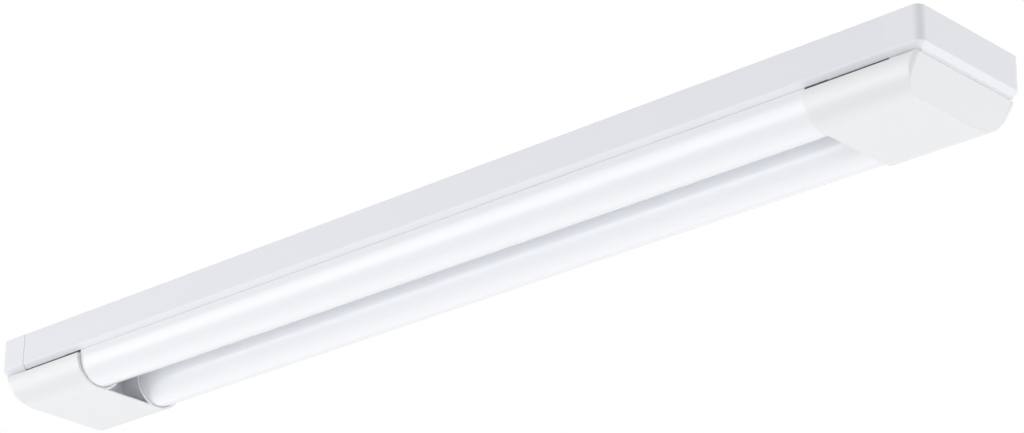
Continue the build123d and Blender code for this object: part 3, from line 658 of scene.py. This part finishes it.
# Domed rivets through the tray and the strips
bm = bmesh.new()
dome = []
for step in range(6):
    angle = math.radians(17 * step)
    height = rivet_height * math.sin(angle) / math.sin(math.radians(85))
    dome.append((rivet_radius * math.cos(angle), height))
for x in (-440, 0, 440):
    for axis in (-tube_y, tube_y):
        for y in (axis - rivet_from_axis, axis + rivet_from_axis):
            turned(bm, (x, y, tray_top), dome, small_round_sides, 1)
            turned(bm, (x, y, crown_bottom), dome, small_round_sides, -1)
finished("domed_rivets", bm, "strip_rivets", sharp=40.0)

# Rims of the cradles' edges beside the pocket between the tubes. They take the lighter white plastic of
# the covers' slot, not the covers' darker copy: painted light against the pocket's shade
for end, cover in ((-1, "end_cover_left"), (1, "end_cover_right")):
    bm = bmesh.new()
    for side in (-1, 1):
        rings = []
        for step in range(rim_steps + 1):
            angle = math.radians(rim_angle * step / rim_steps)
            ring = []
            for reach, along in rim_section:
                ring.append(bm.verts.new((
                    end * (cover_inner_x - along) * mm,
                    side * (tube_y - reach * math.cos(angle)) * mm,
                    (tube_centre - reach * math.sin(angle)) * mm,
                )))
            rings.append(ring)
        for low, high in zip(rings, rings[1:]):
            join_rings(bm, low, high)
        bm.faces.new(rings[0])
        bm.faces.new(rings[-1])
    finished("rim_" + cover, bm, cover, sharp=50.0, stands=False)

# Dark strips in the slot between the tray and the body's lip above each end cover, and outside the tubes'
# skirts: painted shade, a dark sheet where the gap holds only shade
bm = bmesh.new()
for x in (-561.0, cover_inner_x):
    for y in (-66.9, 65.25):
        low, high = slot_shade_heights
        add_box(bm, (x, y, low), (x + slot_shade_length, y + slot_shade_width, high), 0.2)
for x in (-499.2, 474.6):
    for y in (-67.95, 67.25):
        low, high = skirt_shade_heights
        add_box(bm, (x, y, low), (x + skirt_shade_length, y + skirt_shade_width, high), 0.15)
# The strips take the dark rubber finish, which paints the gap's shade.
finished("painted_shade_strips", bm, "gear_tray", slot="rubber_grey", stands=False)

# Bush and blanking plugs with rounded flanges
rounded = [(10.25, 0.0), (10.25, -0.8), (13.0, -0.8), (13.35, -0.95), (13.5, -1.3), (13.5, -2.7)]
rounded += [(13.35, -3.1), (13.0, -3.3)]
bush = [(8.0, -0.2), (8.2, 0.0)] + rounded + [(8.3, -3.3), (8.0, -3.1)]
plug = [(7.6, -0.45), (8.2, 0.0)] + rounded + [(8.6, -3.3), (8.0, -2.6)]
bm = bmesh.new()
turned(bm, (-entry_x, 0, 0), bush, plug_sides, 1, True)
finished("round_bush", bm, "cable_bush", sharp=32.0)
bm = bmesh.new()
for x in (0, entry_x):
    turned(bm, (x, 0, 0), plug, plug_sides, 1)
finished("round_plugs", bm, "blanking_plugs", sharp=32.0)

# Leads, round and smooth: two for the mains, one for the earth and one for each LED strip
routes = {}
for name, pole_y, driver_y in (("lead_live", -9.6, -4.8), ("lead_neutral", 0, 4.8)):
    routes[name] = (1.2, [
        (-402, pole_y, terminal_lead_z),
        (-382, pole_y, terminal_lead_z),
        (-346, driver_y, driver_lead_z),
        (-326, driver_y, driver_lead_z),
    ])
routes["lead_earth"] = (1.2, [
    (-402, 9.6, terminal_lead_z),
    (-390, 9.6, terminal_lead_z),
    (-371, 9.6, lug_lead_z),
    (-359, 9.6, lug_lead_z),
])
for name, side in (("lead_led_near", -1), ("lead_led_far", 1)):
    routes[name] = (1.8, [
        (-94, side * 6, driver_lead_z),
        (-52, side * 6, driver_lead_z),
        (0, side * tube_y, led_lead_z),
        (0, side * tube_y, board_bottom),
    ])
for name, (radius, corners) in routes.items():
    bm = bmesh.new()
    add_tube(bm, route_points(corners), radius, thread_sides)
    finished("round_" + name, bm, name, sharp=40.0)
    if name == "lead_earth":
        bm = bmesh.new()
        for first, last in ((2, 7), (12, 17)):
            add_tube(bm, route_points(corners), radius + stripe_height, thread_sides, first, last)
        finished("stripe_" + name, bm, name, finish=earth_stripe, sharp=40.0, stands=False)

# LEDs: a white package with a round phosphor field, and the board's raised tracks and pads
for side, side_name in ((-1, "near"), (1, "far")):
    for end, end_name in ((-1, "left"), (1, "right")):
        tail = side_name + "_" + end_name
        packages, fields, tracks = bmesh.new(), bmesh.new(), bmesh.new()
        for step in range(chip_count):
            x = end * (chip_start + (step + 0.5) * chip_pitch)
            y = side * tube_y
            add_box(
                packages,
                (x - package_half, y - package_half, board_bottom - chip_height + 0.06),
                (x + package_half, y + package_half, board_bottom),
                0.08,
            )
            turned(
                fields,
                (x, y, board_bottom - chip_height + 0.08),
                [(1.2, 0.0), (1.2, 0.03), (1.1, 0.06), (0.7, 0.08)],
                small_round_sides,
                -1,
            )
            for offset in (-pad_from_axis, pad_from_axis):
                pad_x = x + offset
                add_box(
                    tracks,
                    (pad_x - pad_half_width, y - pad_half_length, board_bottom - pad_height),
                    (pad_x + pad_half_width, y + pad_half_length, board_bottom),
                )
            if step < chip_count - 1:
                low_x, high_x = (x, x + chip_pitch) if end > 0 else (x - chip_pitch, x)
                add_box(
                    tracks,
                    (low_x + track_inset, y - 0.5, board_bottom - track_height),
                    (high_x - track_inset, y + 0.5, board_bottom),
                )
        for offset in (-rail_from_axis, rail_from_axis):
            rail_y = side * tube_y + offset
            low_x, high_x = sorted((end * 12.0, end * 490.0))
            add_box(
                tracks,
                (low_x, rail_y - rail_half_width, board_bottom - track_height),
                (high_x, rail_y + rail_half_width, board_bottom),
            )
        board = "led_board_" + tail
        finished("phosphor_" + tail, fields, "led_chips_" + tail, sharp=40.0)
        finished("packages_" + tail, packages, board, sharp=40.0, stands=False)
        finished("tracks_" + tail, tracks, board, sharp=40.0, stands=False)


def add_camera():
    """The photograph's view, solved on the light's long edges."""
    azimuth = math.radians(camera_azimuth)
    elevation = math.radians(camera_elevation)
    roll = math.radians(camera_roll)
    forward = Vector((
        math.cos(elevation) * math.cos(azimuth),
        math.cos(elevation) * math.sin(azimuth),
        math.sin(elevation),
    ))
    flat_right = Vector((forward.y, -forward.x, 0)).normalized()
    flat_up = flat_right.cross(forward)
    right = math.cos(roll) * flat_right + math.sin(roll) * flat_up
    up = right.cross(forward)
    data = bpy.data.cameras.new("camera")
    data.lens = camera_lens
    data.sensor_width = camera_sensor
    data.clip_end = 200.0
    camera = bpy.data.objects.new("camera", data)
    turn = Matrix((right, up, -forward)).transposed().to_4x4()
    camera.matrix_world = Matrix.Translation(camera_place) @ turn
    bpy.context.scene.collection.objects.link(camera)
    bpy.context.scene.camera = camera


def add_soft_light(name, place, aim, size, radiance, gloss_only=False):
    """A rectangular soft light of even radiance that faces the point it lights."""
    data = bpy.data.lights.new(name, "AREA")
    data.shape = "RECTANGLE"
    data.size, data.size_y = size
    data.energy = radiance * math.pi * size[0] * size[1]
    lamp = bpy.data.objects.new(name, data)
    lamp.location = place
    lamp.rotation_euler = (Vector(aim) - Vector(place)).to_track_quat("-Z", "Y").to_euler()
    lamp.visible_camera = False
    lamp.visible_diffuse = not gloss_only
    lamp.visible_transmission = False
    bpy.context.scene.collection.objects.link(lamp)
    return lamp


def make_world():
    """White where the camera, gloss or clear material looks, and an even soft fill for the rest."""
    world = bpy.data.worlds.new("studio")
    bpy.context.scene.world = world
    world.use_nodes = True
    nodes, links = world.node_tree.nodes, world.node_tree.links
    nodes.clear()
    path = nodes.new("ShaderNodeLightPath")
    seen = nodes.new("ShaderNodeMath")
    seen.operation = "MAXIMUM"
    links.new(path.outputs["Is Camera Ray"], seen.inputs[0])
    links.new(path.outputs["Is Glossy Ray"], seen.inputs[1])
    clear = nodes.new("ShaderNodeMath")
    clear.operation = "MAXIMUM"
    links.new(seen.outputs[0], clear.inputs[0])
    links.new(path.outputs["Is Transmission Ray"], clear.inputs[1])
    fill = nodes.new("ShaderNodeBackground")
    fill.inputs["Color"].default_value = colour(1, 1, 1)
    fill.inputs["Strength"].default_value = fill_level
    white = nodes.new("ShaderNodeBackground")
    white.inputs["Color"].default_value = colour(1, 1, 1)
    white.inputs["Strength"].default_value = 1.0
    choose = nodes.new("ShaderNodeMixShader")
    links.new(clear.outputs[0], choose.inputs["Fac"])
    links.new(fill.outputs[0], choose.inputs[1])
    links.new(white.outputs[0], choose.inputs[2])
    out = nodes.new("ShaderNodeOutputWorld")
    links.new(choose.outputs[0], out.inputs["Surface"])


def add_floor():
    """A pale floor far below, since the light hangs from a ceiling."""
    bpy.ops.mesh.primitive_grid_add(x_subdivisions=4, y_subdivisions=4, size=floor_size)
    floor = bpy.context.object
    floor.name = "floor"
    floor.location = (0, 0, -floor_drop)
    material, shader = new_material("floor")
    shader.inputs["Base Color"].default_value = colour(floor_tone, floor_tone, floor_tone)
    shader.inputs["Roughness"].default_value = floor_roughness
    nodes, links = material.node_tree.nodes, material.node_tree.links
    path = nodes.new("ShaderNodeLightPath")
    seen = nodes.new("ShaderNodeMath")
    seen.operation = "MAXIMUM"
    links.new(path.outputs["Is Camera Ray"], seen.inputs[0])
    links.new(path.outputs["Is Glossy Ray"], seen.inputs[1])
    glow = nodes.new("ShaderNodeEmission")
    glow.inputs["Strength"].default_value = 1.0
    choose = nodes.new("ShaderNodeMixShader")
    links.new(seen.outputs[0], choose.inputs["Fac"])
    links.new(shader.outputs[0], choose.inputs[1])
    links.new(glow.outputs[0], choose.inputs[2])
    links.new(choose.outputs[0], nodes["Material Output"].inputs["Surface"])
    floor.data.materials.append(material)


add_camera()
make_world()
add_floor()
for name, direction, level in (
    ("side_soft", (-0.5, -0.8, -0.33), side_level),
    ("end_soft", (0.7, 0.6, -0.39), end_level),
    ("below_soft", (0.0, 0.0, -0.95), below_level),
):
    place = Vector(direction).normalized() * soft_distance
    radiance = level * math.pi * soft_distance**2 / soft_size**2
    lamp = add_soft_light(name, place, (0, 0, 0), (soft_size, soft_size), radiance)
    lamp.visible_glossy = False
for name, angle, distance, size, level in (
    ("tube_highlight", highlight_angle, highlight_distance, highlight_size, highlight_level),
    ("tube_plateau", plateau_angle, plateau_distance, plateau_size, plateau_level),
):
    turn = math.radians(angle)
    place = (0, -distance * math.cos(turn), -distance * math.sin(turn))
    add_soft_light(name, place, (0, 0, 0), size, level, True)

scene = bpy.context.scene
scene.view_settings.view_transform = "Standard"
